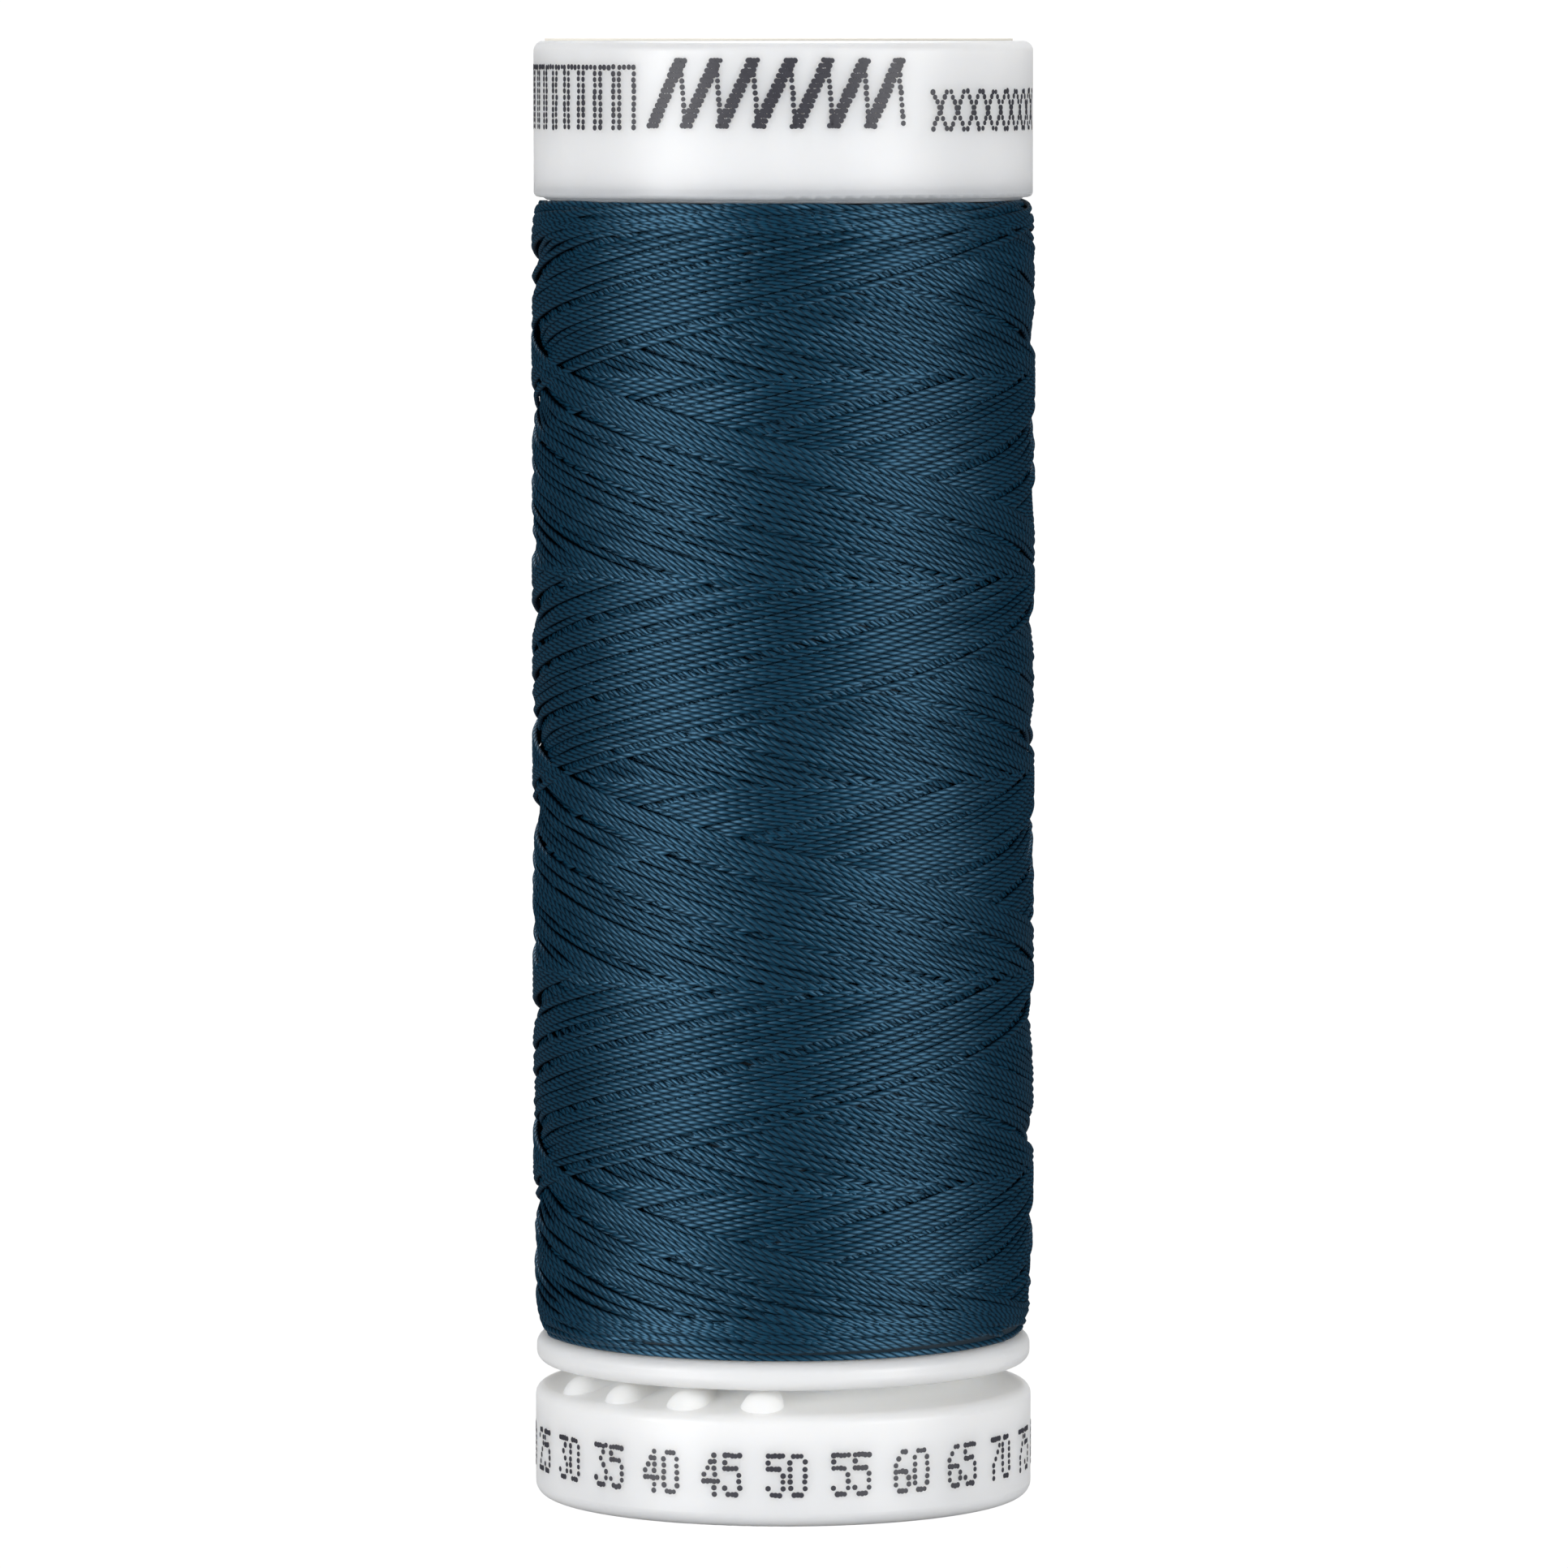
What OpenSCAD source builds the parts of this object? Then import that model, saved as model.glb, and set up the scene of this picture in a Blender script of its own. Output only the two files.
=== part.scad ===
// Spool of sewing thread with a snap base that locks the thread's end.
// Millimetres. The spool stands on its base: the origin is the centre of the foot,
// +Z is up and -Y is the front, where the bumps of the thread lock show on the left.

/* [Overall] */
// Outer diameter of the base and of the top cap
cap_d = 22; // [21.5:0.5:28]
// Height from the foot of the base to the top of the cap
spool_h = 64.4; // [45:0.2:90]

/* [Spool pin bore] */
// Bore that a sewing machine's spool pin passes through
pin_bore_d = 8; // [6:0.1:9.6]
// Chamfer at the two mouths of the bore
mouth_chamfer = 0.4; // [0.2:0.05:0.6]

/* [Barrel and flanges] */
// Outer diameter of the barrel that the thread is wound on
barrel_d = 16; // [13.4:0.1:17.2]
// Wall of the barrel
barrel_wall = 1.2; // [1:0.05:1.3]
// How far the lower flange's rim stays inside the side of the base
flange_inset = 0.05; // [0:0.05:0.5]
// Thickness of the lower flange
flange_t = 1.25; // [1.2:0.05:2]
// Round of the lower flange's upper edge
flange_top_round = 0.5; // [0.1:0.05:0.6]
// Round of the lower flange's under edge
flange_under_round = 0.5; // [0.1:0.05:0.5]
// How far the upper flange's rim, which the cap goes over, stays inside the side of the cap
upper_flange_inset = 0.35; // [0.35:0.05:0.6]
// Height of the upper flange's widest part
upper_flange_rim = 0.6; // [0.5:0.05:1]
// Full thickness of the upper flange
upper_flange_t = 1.2; // [1.1:0.1:2]
// Round of the upper flange's under edge
upper_flange_round = 0.35; // [0.1:0.05:0.4]

/* [Top cap] */
// Height of the cap's side wall
cap_h = 6.85; // [5:0.05:12]
// Wall of the cap's skirt
cap_wall = 1.2; // [0.8:0.1:1.6]
// Thickness of the cap's top plate
cap_plate = 1.2; // [0.8:0.1:2]
// Round of the cap's upper edge
cap_top_round = 0.45; // [0.1:0.05:0.8]
// Round of the cap's lower rim
cap_rim_round = 0.22; // [0.05:0.01:0.24]
// How far the upper flange shows below the cap's rim
flange_show = 0.15; // [0:0.05:0.3]
// How far the cap's sleeve goes down into the barrel
sleeve_len = 4.6; // [3:0.1:8]
// Wall of the cap's sleeve
sleeve_t = 1; // [0.8:0.05:1.1]
// How far the sleeve's snap bead stands out
bead_out = 0.25; // [0.1:0.05:0.35]
// Height of the snap bead
bead_h = 0.6; // [0.4:0.1:1]
// Length of the cap's pin guide, with its plate
cap_hub_len = 5.4; // [3:0.1:5.5]

/* [Base] */
// Height of the base's side wall
base_h = 4.95; // [4:0.05:8]
// Wall of the base's skirt
base_wall = 1.2; // [0.8:0.1:1.6]
// Thickness of the base's top plate
base_plate = 1.4; // [1.4:0.1:2]
// Round of the base's upper edge
base_top_round = 0.5; // [0.1:0.05:0.6]
// How much higher the base's conical top is at the neck than at its edge, so that the groove narrows inwards
base_top_rise = 0.6; // [0.2:0.05:0.6]
// Round of the base's foot
base_foot_round = 0.6; // [0.2:0.1:1]
// How far the pin guide and the ribs stay above the foot
foot_recess = 0.4; // [0.2:0.1:1]
// Length of the base's pin guide above its top plate
base_hub_rise = 4.1; // [1:0.1:6]

/* [Thread lock] */
// Open height of the groove between the base and the lower flange
groove_h = 1; // [0.9:0.05:2]
// How far the base pulls down to open the lock
base_travel = 2.5; // [1:0.1:3.5]
// How far the neck's shoulder reaches out under the lower flange
shoulder_w = 1.1; // [0.8:0.1:1.4]
// Fillet at the foot of the neck
neck_fillet = 0.25; // [0.1:0.05:0.25]
// Number of bumps that grip the thread
bump_count = 4; // [1:1:6]
// Angle between two bumps
bump_pitch = 20; // [16:1:30]
// Angle of the last bump, from the front towards the left
bump_start = 5.5; // [0:0.5:40]
// Radius of a bump's dome
bump_r = 1.05; // [0.6:0.05:1.08]
// How deep the middle of a bump's dome lies under the top of the base
bump_sink = 0.25; // [0.2:0.05:0.3]
// Gap from a bump's end to the side of the base
bump_edge = 0.4; // [0.3:0.05:1]
// Number of snap fingers
finger_count = 4; // [3:1:6]
// Thickness of a snap finger
finger_t = 1; // [0.8:0.05:1.1]
// Length of the snap fingers above the shoulder
finger_len = 7.1; // [5.5:0.1:10]
// Slot between two fingers
finger_slot = 2.2; // [1.6:0.1:2.6]
// How far a barb stands out of its finger
barb_out = 0.35; // [0.2:0.05:0.4]
// Height of a barb's straight side
barb_side = 0.5; // [0.3:0.05:0.8]
// Height of a barb's slope
barb_slope = 0.9; // [0.6:0.1:1.2]

/* [Ribs and guides] */
// Wall of the two pin guides
hub_wall = 1; // [0.8:0.05:1.1]
// Number of ribs under the base and in the cap
rib_count = 6; // [3:1:8]
// Thickness of a rib
rib_t = 0.8; // [0.6:0.1:1.2]

/* [Label] */
// From the edge of the paper label to the side of the cap
label_edge = 0.7; // [0.6:0.1:3]
// Thickness of the label
label_t = 0.1; // [0.05:0.01:0.2]
// Bare ring between the chamfer of the bore and the label's hole
label_hole_gap = 0.2; // [0.1:0.1:1.5]
// How far the label was stuck on to the left of centre
label_shift = 0.2; // [0:0.05:0.2]

/* [Thread] */
// How far the wound thread stands out past the side of the cap
wound_proud = 0.1; // [-0.3:0.05:0.1]
// Thickness of one loop, which stands for a band of fine turns
loop_d = 1.55; // [1.1:0.05:1.55]
// Number of loops in the outer layer, or as many as the height has room for
loops = 24; // [8:1:24]
// Least gap between two loops
loop_gap = 0.45; // [0.41:0.01:0.8]
// Radius of the bend where the thread's ends go in to the barrel
end_bend = 0.8; // [0.8:0.01:0.85]

/* [Fits and clearances] */
// Gap between the sliding neck and the barrel's bore
slide_gap = 0.1; // [0.05:0.01:0.1]
// Gap round the pieces of the cap that are pressed in
press_gap = 0.05; // [0.02:0.01:0.08]
// Gap between the snap features and their grooves
snap_gap = 0.1; // [0.05:0.05:0.15]
// Gap on each side of a key in its slot
key_gap = 0.2; // [0.1:0.05:0.3]
// Gap between the thread and what it lies on
wound_gap = 0.05; // [0.02:0.01:0.1]
// Gap between the thread's end loops and the flanges
end_gap = 0.1; // [0.05:0.05:0.3]

/* [Hidden] */
$fn = 96;

white = "#E9EBEC";
paper = "#F3F1EA";
petrol = "#23506E";

cap_r = cap_d / 2;
pin_r = pin_bore_d / 2;
hub_r = pin_r + hub_wall;
barrel_r = barrel_d / 2;
bore_r = barrel_r - barrel_wall;
flange_r = cap_r - flange_inset;
upper_flange_r = cap_r - upper_flange_inset;
label_r = cap_r - label_edge;
label_hole_r = pin_r + mouth_chamfer + label_hole_gap;
over = 1; // how far a cutting shape runs past the face that it cuts

// Heights, from the foot up
base_top = base_h;
flange_under = base_top + groove_h;
flange_top = flange_under + flange_t;
cap_rim = spool_h - cap_h;
upper_under = cap_rim - flange_show;
upper_step = upper_under + upper_flange_rim;
upper_top = upper_under + upper_flange_t;
cap_ceiling = spool_h - cap_plate;

// The neck with its snap fingers, and their groove in the barrel
neck_r = bore_r + shoulder_w;
finger_r = bore_r - slide_gap;
finger_in = finger_r - finger_t;
finger_top = flange_under + finger_len;
barb_r = finger_r + barb_out;
barb_under = finger_top - barb_slope - barb_side;
snap_groove_r = barb_r + snap_gap;
snap_groove_low = barb_under - base_travel - snap_gap;
snap_groove_high = finger_top + snap_gap;
key_w = finger_slot - 2 * key_gap;
key_in = max(finger_in, hub_r) + slide_gap;
key_low = flange_under + snap_gap;
key_high = snap_groove_high;
bump_axis_r = cap_r - bump_edge - bump_r;

// The conical top of the base, which leaves the rounded edge without a kink, and the fillet at its neck
cone = atan(base_top_rise / (cap_r - base_top_round - neck_r));
cone_edge_r = cap_r - base_top_round * (1 - sin(cone));
cone_edge = base_top - base_top_round * (1 - cos(cone));
neck_foot = cone_edge + tan(cone) * (cone_edge_r - neck_r);
fillet_axis = neck_foot + neck_fillet * (1 / cos(cone) - tan(cone));

// The cap's sleeve and its bead
sleeve_r = bore_r - press_gap;
sleeve_in = sleeve_r - sleeve_t;
sleeve_low = upper_top - sleeve_len;
bead_r = sleeve_r + bead_out;
bead_low = sleeve_low + bead_h;
bead_groove_r = bead_r + snap_gap;
cap_skirt_in = cap_r - cap_wall;
spigot_r = cap_skirt_in - press_gap;
cap_rebate_r = upper_flange_r + press_gap;
rib_low = upper_top + snap_gap;

// The outer layer of the thread
sides = 6;
rings = 24; // rings in one loop
bend_rings = 5;
loop_r = loop_d / 2;
loop_flat = loop_r * cos(180 / sides); // half the loop's width across its flats
turn_r = cap_r + wound_proud - loop_flat;
core_r = turn_r * cos(180 / rings) - loop_flat - wound_gap;
winding_low = flange_top + end_gap + loop_r;
winding_high = upper_under - end_gap - loop_r;
loop_count = min(loops, floor((winding_high - winding_low) / (loop_d + loop_gap)));
winding_steps = loop_count * rings;
loop_rise = (winding_high - winding_low) / loop_count;
bend_x = sqrt(pow(turn_r - end_bend, 2) - pow(end_bend, 2)); // where the straight end run stops
bend_turn = asin(end_bend / (turn_r - end_bend)); // angle round the barrel that the bend takes
notch_w = loop_d + 4 * wound_gap;
notch_h = end_gap + loop_d + 2 * wound_gap;

// ---------- outlines to revolve: x is the radius, y is the height ----------

// Quarter of a circle that rounds an outer corner, upwards or downwards from its centre
module corner_section(x, y, r, upwards) {
    intersection() {
        translate([x, y]) circle(r);
        translate([x, upwards ? y : y - r]) square(r);
    }
}

// Half section of a disc with a rounded upper and a rounded under edge
module disc_section(r, h, top_round, under_round) {
    square([r - max(top_round, under_round), h]);
    square([r - under_round, h - top_round]);
    translate([0, under_round]) square([r - top_round, h - under_round]);
    translate([0, under_round]) square([r, h - top_round - under_round]);
    if (top_round > 0) corner_section(r - top_round, h - top_round, top_round, true);
    corner_section(r - under_round, under_round, under_round, false);
}

// Half section of a plain ring
module ring_section(r_in, r_out, low, high) {
    translate([r_in, low]) square([r_out - r_in, high - low]);
}

module ring(r_in, r_out, low, high) {
    rotate_extrude() ring_section(r_in, r_out, low, high);
}

// Radial ribs between two walls, turned by half a step from the front
module ribs(r_in, r_out, low, high) {
    for (i = [0 : rib_count - 1])
        rotate((i + 0.5) * 360 / rib_count)
            translate([r_in, -rib_t / 2, low]) cube([r_out - r_in, rib_t, high - low]);
}

// Boxes centred on the gaps between the snap fingers
module finger_gaps(w, r_in, r_out, low, high, every = 1) {
    for (i = [0 : every : finger_count - 1])
        rotate(i * 360 / finger_count)
            translate([r_in, -w / 2, low]) cube([r_out - r_in, w, high - low]);
}

// ---------- spool body: barrel, both flanges and the keys ----------

module lower_flange_section() {
    translate([0, flange_under])
        disc_section(flange_r, flange_t, flange_top_round, flange_under_round);
}

module upper_flange_section() {
    translate([0, upper_under])
        disc_section(upper_flange_r, upper_flange_rim, 0, upper_flange_round);
    ring_section(0, spigot_r, upper_under + upper_flange_round, upper_top);
}

// The bore with the snap groove for the barbs and the one for the cap's bead
module barrel_bore_section() {
    ring_section(0, bore_r, flange_under - over, upper_top + over);
    ring_section(0, snap_groove_r, snap_groove_low, snap_groove_high);
    ring_section(0, bead_groove_r, bead_low - snap_gap, bead_low + bead_h + snap_gap);
}

// Keys that ride in two of the slots and keep the base from turning
module barrel_keys() {
    intersection() {
        finger_gaps(key_w, key_in, barrel_r - barrel_wall / 3, key_low, key_high, 2);
        cylinder(r = barrel_r - barrel_wall / 4, h = upper_top);
    }
}

module spool_body() {
    color(white) union() {
        rotate_extrude() difference() {
            union() {
                ring_section(0, barrel_r, flange_under, upper_top);
                lower_flange_section();
                upper_flange_section();
            }
            barrel_bore_section();
        }
        barrel_keys();
    }
}

// ---------- top cap ----------

module cap_shell_section() {
    difference() {
        translate([0, cap_rim]) disc_section(cap_r, cap_h, cap_top_round, cap_rim_round);
        ring_section(0, cap_rebate_r, cap_rim - over, upper_step);
        ring_section(0, cap_skirt_in, cap_rim - over, cap_ceiling);
    }
}

module cap_sleeve_section() {
    ring_section(sleeve_in, sleeve_r, sleeve_low, cap_ceiling + cap_plate / 2);
    ring_section(sleeve_in, bead_r, bead_low, bead_low + bead_h);
}

module top_cap() {
    color(white) difference() {
        union() {
            rotate_extrude() {
                cap_shell_section();
                cap_sleeve_section();
                ring_section(0, hub_r, spool_h - cap_hub_len, cap_ceiling + cap_plate / 2);
            }
            ribs(sleeve_r - sleeve_t / 2, cap_skirt_in + cap_wall / 2, rib_low, cap_ceiling + cap_plate / 2);
        }
        translate([0, 0, sleeve_low - over]) cylinder(r = pin_r, h = cap_h + sleeve_len + 2 * over);
        translate([0, 0, spool_h - mouth_chamfer])
            cylinder(r1 = pin_r, r2 = pin_r + 2 * mouth_chamfer, h = 2 * mouth_chamfer);
    }
}

module top_label() {
    color(paper) translate([-label_shift, 0, spool_h]) difference() {
        cylinder(r = label_r, h = label_t);
        translate([0, 0, -over]) cylinder(r = label_hole_r, h = label_t + 2 * over);
    }
}

// ---------- snap base ----------

module base_shell_section() {
    difference() {
        disc_section(cap_r, base_h, base_top_round, base_foot_round);
        ring_section(0, cap_r - base_wall, -over, base_h - base_plate);
    }
}

// The shoulder, which stops against the lower flange, on its filleted foot
module neck_section() {
    ring_section(finger_in, neck_r, base_top - base_plate / 2, flange_under);
    difference() {
        translate([neck_r - shoulder_w / 2, base_top - base_plate / 2])
            square([shoulder_w / 2 + neck_fillet * (1 - sin(cone)), fillet_axis - base_top + base_plate / 2]);
        translate([neck_r + neck_fillet, fillet_axis]) circle(neck_fillet);
    }
}

// The cone from the rounded edge up to the neck
module base_cone_section() {
    inner = neck_r - shoulder_w / 2;
    polygon([
        [inner, base_top - base_plate / 2],
        [cone_edge_r, base_top - base_plate / 2],
        [cone_edge_r, cone_edge],
        [inner, cone_edge + tan(cone) * (cone_edge_r - inner)]
    ]);
}

// One finger with its barb: flat below, sloped above so that it snaps in
module finger_section() {
    polygon([
        [finger_in, base_top - base_plate / 2],
        [finger_r, base_top - base_plate / 2],
        [finger_r, barb_under],
        [barb_r, barb_under],
        [barb_r, barb_under + barb_side],
        [finger_r - barb_out, finger_top],
        [finger_in, finger_top]
    ]);
}

// A bump: a radial ridge that comes out of the neck, with a domed end, partly sunk in the top plate
module bump() {
    length = bump_axis_r - neck_r + shoulder_w / 2;
    translate([bump_axis_r, 0, base_top - bump_sink]) rotate([0, 90, 0]) rotate_extrude() {
        translate([0, -length]) square([bump_r, length]);
        intersection() {
            circle(bump_r);
            square(bump_r);
        }
    }
}

module bumps() {
    for (i = [0 : bump_count - 1])
        rotate(-90 - bump_start - i * bump_pitch) bump();
}

module snap_base() {
    color(white) difference() {
        union() {
            rotate_extrude() {
                base_shell_section();
                base_cone_section();
                neck_section();
                ring_section(0, hub_r, foot_recess, base_top + base_hub_rise);
            }
            difference() {
                rotate_extrude() finger_section();
                finger_gaps(finger_slot, finger_in - over, barb_r + over, flange_under, finger_top + over);
            }
            ribs(hub_r - hub_wall / 2, cap_r - base_wall / 2, foot_recess, base_top - base_plate / 2);
            bumps();
        }
        translate([0, 0, -over]) cylinder(r = pin_r, h = base_top + base_hub_rise + 2 * over);
        translate([0, 0, foot_recess - mouth_chamfer])
            cylinder(r1 = pin_r + 2 * mouth_chamfer, r2 = pin_r, h = 2 * mouth_chamfer);
    }
}

// ---------- thread ----------

// Height of the outer layer after u turns, in turns: the first and the last turn start
// level on the flanges and climb over their own ends
function first_turn(u) = 2 * pow(u, 2) - pow(u, 3);
function climb(u) =
    u < 1 ? first_turn(u)
    : u > loop_count - 1 ? loop_count - first_turn(loop_count - u)
    : u;

// Centre line of one end: straight out from the barrel, then round into the first turn
start_run = [[barrel_r, 0, winding_low], [barrel_r + loop_d / 2, 0, winding_low]];
start_bend = [
    for (i = [0 : bend_rings - 1])
        let (a = -90 + i * (90 + bend_turn) / bend_rings)
        [bend_x + end_bend * cos(a), end_bend * (1 + sin(a)), winding_low]
];
start_end = concat(start_run, start_bend);

// The other end is the same, turned over
function turned_over(p) = [p.x, -p.y, winding_low + winding_high - p.z];
finish_end = [for (i = [len(start_end) - 1 : -1 : 0]) turned_over(start_end[i])];

turns = [
    for (i = [0 : winding_steps])
        let (a = bend_turn + i * (360 * loop_count - 2 * bend_turn) / winding_steps)
        [turn_r * cos(a), turn_r * sin(a), winding_low + loop_rise * climb(i / rings)]
];
winding_path = concat(start_end, turns, finish_end);

function unit(v) = v / norm(v);
function heading(path, i) = unit(path[min(i + 1, len(path) - 1)] - path[max(i - 1, 0)]);

// One ring of the tube, with a flat side facing out
function tube_ring(path, i) =
    let (
        ahead = heading(path, i),
        out = unit(cross(ahead, [0, 0, 1])),
        up = cross(out, ahead)
    )
    [for (k = [0 : sides - 1]) let (a = (k + 0.5) * 360 / sides)
        path[i] + loop_r * (cos(a) * out + sin(a) * up)];

function tube_faces(count) = concat(
    [for (k = [1 : sides - 2]) [0, k, k + 1]],
    [for (k = [1 : sides - 2]) [(count - 1) * sides, (count - 1) * sides + k + 1, (count - 1) * sides + k]],
    [for (i = [0 : count - 2]) for (k = [0 : sides - 1])
        let (a = i * sides + k, b = i * sides + (k + 1) % sides) each [[a, a + sides, b], [b, a + sides, b + sides]]]
);

// Least gap from the tube to itself, between points that lie well apart along it
function lengths_along(path) =
    [for (i = 0, s = 0; i < len(path); i = i + 1, s = s + (i < len(path) ? norm(path[i] - path[i - 1]) : 0)) s];
function least_gap(path) =
    let (along = lengths_along(path), last = len(path) - 1)
    min([for (i = [0 : last]) for (j = [i + 1 : last])
        if (along[j] - along[i] > 3 * loop_d) norm(path[j] - path[i])]) - loop_d;

module thread_winding() {
    echo(str("Least gap between the thread's loops: ", least_gap(winding_path), " mm"));
    color(petrol) rotate(90)
        polyhedron(
            points = [for (i = [0 : len(winding_path) - 1]) each tube_ring(winding_path, i)],
            faces = tube_faces(len(winding_path))
        );
}

// The inner layers, notched at the back where the outer layer's ends go in
module end_notch(low) {
    rotate(90) translate([barrel_r - over, -notch_w / 2, low]) cube([core_r - barrel_r + 2 * over, notch_w, notch_h]);
}

module thread_core() {
    color(petrol) difference() {
        ring(barrel_r + wound_gap, core_r, flange_top, upper_under);
        translate([0, 0, flange_top - over]) end_notch(over + wound_gap);
        end_notch(upper_under - notch_h);
    }
}

spool_body();
top_cap();
top_label();
snap_base();
thread_core();
thread_winding();
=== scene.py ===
import math

import bmesh
import bpy
import numpy as np
from bpy.props import (
    FloatProperty,
    FloatVectorProperty,
    IntProperty,
    PointerProperty,
    StringProperty,
)
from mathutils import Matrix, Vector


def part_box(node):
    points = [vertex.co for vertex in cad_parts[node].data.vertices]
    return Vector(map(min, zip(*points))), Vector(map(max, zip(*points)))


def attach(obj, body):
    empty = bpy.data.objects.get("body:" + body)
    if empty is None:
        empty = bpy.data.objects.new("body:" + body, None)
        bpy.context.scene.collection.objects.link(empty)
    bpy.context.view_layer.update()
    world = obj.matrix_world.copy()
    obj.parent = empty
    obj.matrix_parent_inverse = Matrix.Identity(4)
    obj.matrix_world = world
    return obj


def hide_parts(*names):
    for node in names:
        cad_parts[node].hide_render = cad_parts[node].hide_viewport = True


bl_info = {
    "name": "Sewing thread spool",
    "version": (1, 0, 0),
    "blender": (4, 5, 0),
    "location": "3D View > Sidebar > Thread Spool",
    "description": "Finishes a moulded spool of cross-wound sewing thread, piece by piece",
    "category": "Object",
}

MM = 0.001
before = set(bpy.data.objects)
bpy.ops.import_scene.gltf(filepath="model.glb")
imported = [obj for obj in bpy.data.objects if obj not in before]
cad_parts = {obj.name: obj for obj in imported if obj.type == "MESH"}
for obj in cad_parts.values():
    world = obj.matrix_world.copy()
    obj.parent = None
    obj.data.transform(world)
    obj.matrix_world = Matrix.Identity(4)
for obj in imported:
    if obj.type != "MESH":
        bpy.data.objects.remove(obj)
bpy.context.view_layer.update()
SPOOL = "spool"
BASE = "base"


# ---------------------------------------------------------------- colours and nodes


def colour(code):
    """Linear red, green, blue and alpha of an sRGB hex code."""
    shares = [int(code[i : i + 2], 16) / 255 for i in (0, 2, 4)]
    return [c / 12.92 if c <= 0.04045 else ((c + 0.055) / 1.055) ** 2.4 for c in shares] + [1.0]


def add_node(tree, kind, inputs=None, **settings):
    """Add a node. Each input is given by name or number, as a value or as the socket it is fed by."""
    made = tree.nodes.new(kind)
    for name, value in settings.items():
        setattr(made, name, value)
    for name, value in (inputs or {}).items():
        if isinstance(value, bpy.types.NodeSocket):
            tree.links.new(value, made.inputs[name])
        else:
            made.inputs[name].default_value = value
    return made


def new_material(name, seen_as):
    """A material with an empty node tree, and that tree."""
    material = bpy.data.materials.new(name)
    material.use_nodes = True
    material.diffuse_color = seen_as
    material.node_tree.nodes.clear()
    return material, material.node_tree


def finish_material(tree, surface):
    """Makes this shader the material's surface."""
    add_node(tree, "ShaderNodeOutputMaterial", {"Surface": surface})


# ---------------------------------------------------------------- helpers for meshes


def deselect():
    """An operator acts on all that is selected, so nothing is left selected."""
    for shown in bpy.context.selected_objects:
        shown.select_set(False)


def place_in_mesh(piece):
    """Puts the object's place, turn and size into its mesh."""
    deselect()
    piece.select_set(True)
    bpy.context.view_layer.objects.active = piece
    bpy.ops.object.transform_apply(location=True, rotation=True, scale=True)


def on_cylinder(turn, radius, height):
    """Points on the spool's round, in metres. A turn is in degrees from the front, and grows to the right."""
    turn = np.radians(turn)
    return np.stack([radius * np.sin(turn), -radius * np.cos(turn), height], -1) * MM


# ---------------------------------------------------------------- winding


COLUMNS = 720  # columns of the relief round the spool, and samples of the yarn in one turn
STEP = 360 / COLUMNS  # degrees from one sample to the next
ROW = 0.04  # mm, height of one row of the relief
MARGIN = 0.4  # mm of relief above and below the winding
ROUND = 11.0  # mm, radius of the winding
PLY_LENGTH = 0.5  # mm along the yarn from one ply to the next: 3 plies in 1.5 mm of twist
PLIES = 3
TILE_PLIES = 60  # plies in one length of the pattern
TILE = PLY_LENGTH * TILE_PLIES  # mm
SIDES = 6  # of the yarn's section
RING = 4  # columns from one ring of the tube to the next
WOUND_EDGE = (  # mm: height and outer radius of the finished winding
    (7.2, 10.50),
    (7.5, 10.64),
    (8.0, 10.78),
    (8.6, 10.88),
    (9.8, 10.96),
    (14.0, 11.01),
    (54.0, 11.02),
    (56.0, 11.00),
    (56.7, 10.93),
    (57.1, 10.84),
    (57.3, 10.76),
    (57.5, 10.60),
)

# How the guide lays the strokes. A stroke is one trip of the guide, up or down.
STROKE = 3 * 360  # degrees that the spool turns in one stroke
MEETING = -60.5  # degrees: where the newest strokes of both kinds meet, on the left
TOUCH = 0.27  # mm between strokes that touch
EVENED = 12  # strokes over which the spacing keeps its average
LANE = 0.24  # mm from one lane to the next, in which neighbouring strokes turn back
LANES = 5
FIRST_LANE = 0.15  # mm that the outermost lane lies outside the reversal
WANDER = 0.028  # mm, how unsteadily the yarn is laid
WANDER_EVERY = 50  # samples
STIFFNESS = 10  # samples over which a corner is rounded
FRONT_REVERSAL = (  # degrees from the front, and mm that strokes turn back above the two closing turns
    (-60, 0),
    (-36, 0.3),
    (50, 0.62),
    (75, 0),
)
CLOSING_TURNS = (  # degrees past the end of the last stroke, and mm above the lower reversal
    (-20, 0.12),
    (60, 0),
    (290, 0),
    (420, 0.1),
    (564, 0.26),
    (650, 0.5),
    (800, 1.5),
)
CLOSING_PASSES = (0, 340, 640)  # degrees past the end of the last stroke, where each closing pass begins

# How the yarn rests on the layers below it
SETTLED = 3  # samples over which its seat is evened out
SHOWN = 0.003  # mm that it may lie under its neighbours and still show
BLUR = (24, 20)  # rows and columns over which the level of the winding is averaged
RIPPLE = 0.3  # mm, the highest broad ripple of that level
RIPPLE_KEPT = 0.3  # share of the ripples that stays
RIM_FROM, RIM_TO = 1.2, 0.5  # mm below the upper reversal, between which the strands are pushed up the rim
RIM_DEPTH = 0.4  # share of their depth that they keep there
CLOSING_PROUD = (-0.02, 0.1)  # mm, least and most that the closing turns stand proud
RAISED, SUNK = 0.11, 0.35  # mm, the most that a strand stands proud of the surface, or lies under it
PRESSED = 1.05  # neighbours press into each other by this factor of their width

# Which stretches become tubes, in samples
BRIDGED = 31  # strands hidden for less than twice this stay in one stretch
DIVE = 15  # a stretch is longer by this at both ends, where it dives under its neighbours
LEAST_SEEN = 3  # a stretch has more samples in sight than this
LEAST_LONG = 8  # and is longer than this
MOST_QUADS = 95000  # in one piece

# The plain deep layers, in mm
BED_RADIUS = 10.5
BED_WALL = 2.4
BED_ROUND = 0.5
BED_GAP = 0.1  # shorter than the winding by this


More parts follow.
